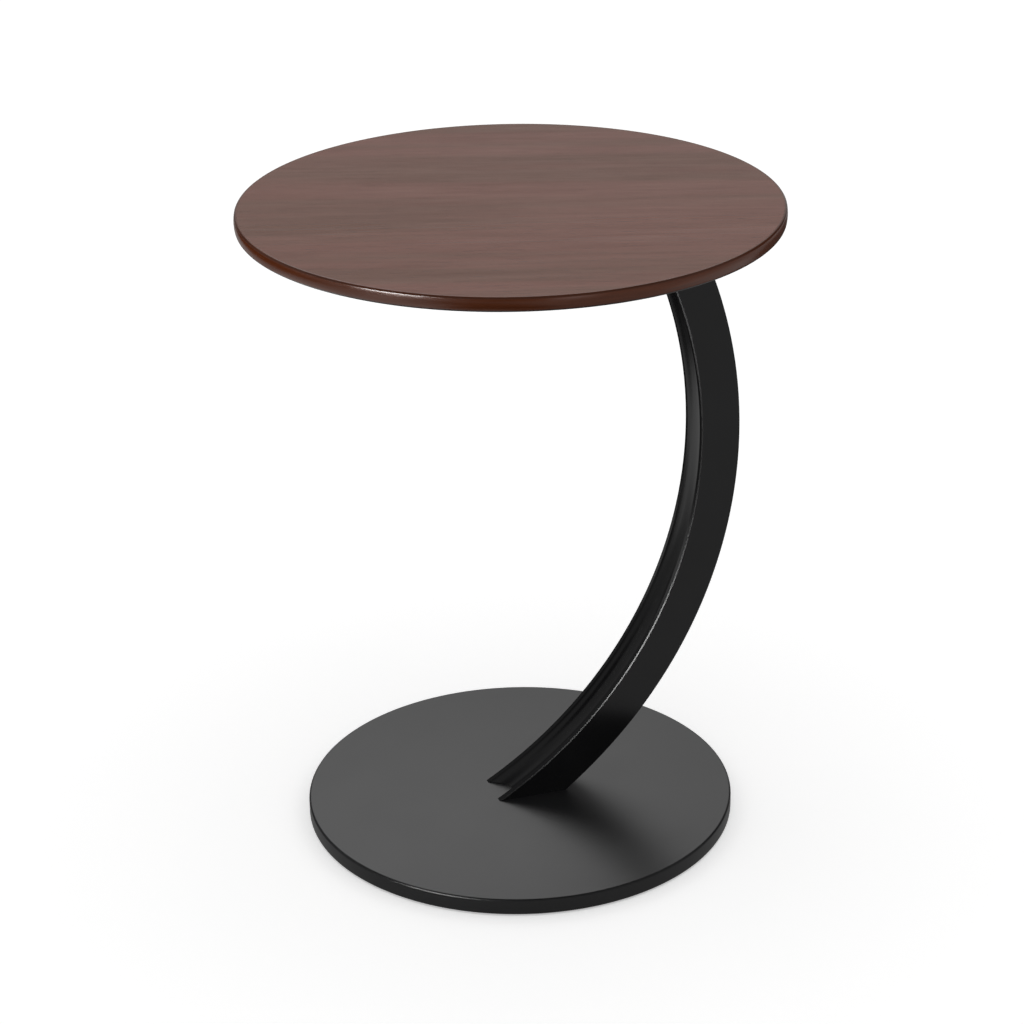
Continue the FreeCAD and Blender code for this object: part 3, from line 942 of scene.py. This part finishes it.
def makeLamp(name):
    # a soft lamp that lights the table and leaves the floor's own shadow alone
    size = lampSizes
    data = bpy.data.lights.new(name, "AREA")
    data.energy = size[name]["power"]
    data.size = size["size"]
    lamp = bpy.data.objects.new(name, data)
    bpy.context.scene.collection.objects.link(lamp)
    lamp.matrix_world = facingTable(fromTable(size[name]["side"], size["rise"], size["far"]))
    lamp.visible_glossy = False
    lightOnly(lamp, size["seenBy"])


softboxSizes = {
    "side": math.radians(-46.0),
    "rise": math.radians(17.0),
    "far": 1.6,
    "size": (0.62, 0.46),
    "glow": 32.0,
    "seenBy": ["rim_band", "base_disc"],
    "slats": 32,
    "slatSpan": math.radians(24.0),
    "slatReach": (0.06, 0.32),  # shares of the way from the card to the rim
    "slatLow": 0.50,
    "slatHigh": 1.02,
}


def makeSoftbox():
    size = softboxSizes
    place = fromTable(size["side"], size["rise"], size["far"])
    glow = glowMaterial("softboxGlow", size["glow"])
    softbox = stagePlane("softboxCard", *size["size"], facingTable(place), glow)
    lightOnly(reflectionOnly(softbox), size["seenBy"])


def makeLouvre(material):
    # upright slats before the softbox keep its glare to the part of the rim that mirrors it to the camera
    size = softboxSizes
    low, high = size["slatLow"], size["slatHigh"]
    corners, faces = [], []
    for step in range(size["slats"] + 1):
        side = size["side"] + size["slatSpan"] * (step / size["slats"] - 0.5)
        card = fromTable(side, size["rise"], size["far"])
        aim = fromTable(side / 2, 0.0, bandSizes["outer"], bandSizes["high"])
        back, front = [card.lerp(aim, reach) for reach in size["slatReach"]]
        faces.append(tuple(range(len(corners), len(corners) + 4)))
        corners += [(back.x, back.y, low), (front.x, front.y, low),
                    (front.x, front.y, high), (back.x, back.y, high)]
    louvre = stagePiece("softboxLouvre", corners, faces, material)
    reflectionOnly(louvre).visible_shadow = True


bounceSizes = {
    "middle": (-1.25, -0.35, 1.0 * mm),
    "size": (2.10, 1.90),
    "fade": (0.50, 1.40, 1.30, 0.55),  # distance from the table, then glow
    "back": (0.50, 1.60, 1.0, 0.25),  # slopes y / x of a direction, then level
    "front": (0.20, 0.90, 0.0, 0.10),
    "edge": (0.385, 0.45),
    "patchStart": (0.20, 0.36),
    "patchEnd": (0.50, 0.70, 1.0, 0.0),
    "patchFar": (1.0, 1.4),
    "patchGlow": 0.80,
}


def makeBounce():
    # a card left of the table: dark beside the base, brightest in a ring round it, fading outwards and back
    size = bounceSizes
    material, wire = bareMaterial("bounceGlow")
    place = wire.node("ShaderNodeTexCoord", output="Object")
    far = wire.node("ShaderNodeVectorMath", {"operation": "LENGTH"}, {0: place}, output="Value")
    x, y = place.split()[:2]
    slope = y / x
    back = (0.0 - slope).between(*size["back"])
    front = slope.between(*size["front"])
    patchWidth = slope.between(*size["patchStart"]) * slope.between(*size["patchEnd"])
    patch = patchWidth * far.between(*size["patchFar"]) * size["patchGlow"]
    ring = far.between(*size["fade"]) * back * (far - front).between(*size["edge"])
    glow = wire.node("ShaderNodeEmission", None, {"Color": ring * (1.0 + patch), "Strength": 1.0})
    wire.node("ShaderNodeOutputMaterial", None, {"Surface": glow})
    card = stagePlane("bounceCard", *size["size"], Matrix.Translation(size["middle"]), material)
    reflectionOnly(card)


# Small upright cards that the column's near front edge mirrors: a glint low down, dark above it,
# a faint glint at the head.
edgeCards = {
    "edge": {"middle": (0.044, -0.462, 0.036), "size": (0.04, 0.036), "glow": 28.0},
    "body": {"middle": (0.071, -0.462, 0.0995), "size": (0.12, 0.091), "glow": 0.02},
    "head": {"middle": (0.069, -0.462, 0.1575), "size": (0.03, 0.025), "glow": 10.0},
}


def makeEdgeCards():
    for name, card in edgeCards.items():
        upright = Matrix.Translation(card["middle"]) @ Matrix.Rotation(math.radians(-90.0), 4, "X")
        plane = stagePlane(name + "Card", *card["size"], upright, glowMaterial(name + "Glow", card["glow"]))
        lightOnly(reflectionOnly(plane), ["arched_column"])


blackGlow = 0.02
backFlag = {"middle": (0.08, 0.82, 3.0 * mm), "size": (0.80, 0.80)}
flagLift = 2.0 * mm
floorFlags = {  # side in degrees as for fromTable
    "frontFlag": {"side": -5.0, "far": 1.45, "size": (0.72, 1.46), "glow": 0.02},
    "farFlag": {"side": -13.0, "far": 2.20, "size": (1.00, 1.40), "glow": 0.02},
    "rightFlag": {"side": 135.0, "far": 1.40, "size": (1.10, 1.70), "glow": 0.05},
    "rightCard": {"side": 88.0, "far": 1.55, "size": (1.10, 1.30), "glow": 0.62},
    "leftFlag": {"side": -114.0, "far": 3.00, "size": (3.00, 3.00), "glow": 0.25,
                 "seenBy": ["arched_column"]},
}


def makeFlags(black):
    # dark and dim cards on the floor
    reflectionOnly(stagePlane("backFlag", *backFlag["size"], Matrix.Translation(backFlag["middle"]), black))
    for name, flag in floorFlags.items():
        side = math.radians(flag["side"])
        place = fromTable(side, 0.0, flag["far"], flagLift)
        turn = Matrix.Translation(place) @ Matrix.Rotation(side - viewSide, 4, "Z")
        glow = glowMaterial(name + "Glow", flag["glow"])
        card = reflectionOnly(stagePlane(name, *flag["size"], turn, glow))
        if "seenBy" in flag:
            lightOnly(card, flag["seenBy"])


def makeStudio():
    makeFloor()
    makeWorld()
    makeLamp("keyLight")
    makeLamp("fillLight")
    makeSoftbox()
    black = glowMaterial("blackFlag", blackGlow)
    makeLouvre(black)
    makeBounce()
    makeEdgeCards()
    makeFlags(black)


makeStudio()
bpy.context.scene.view_settings.view_transform = "Standard"
print("studio and camera set")
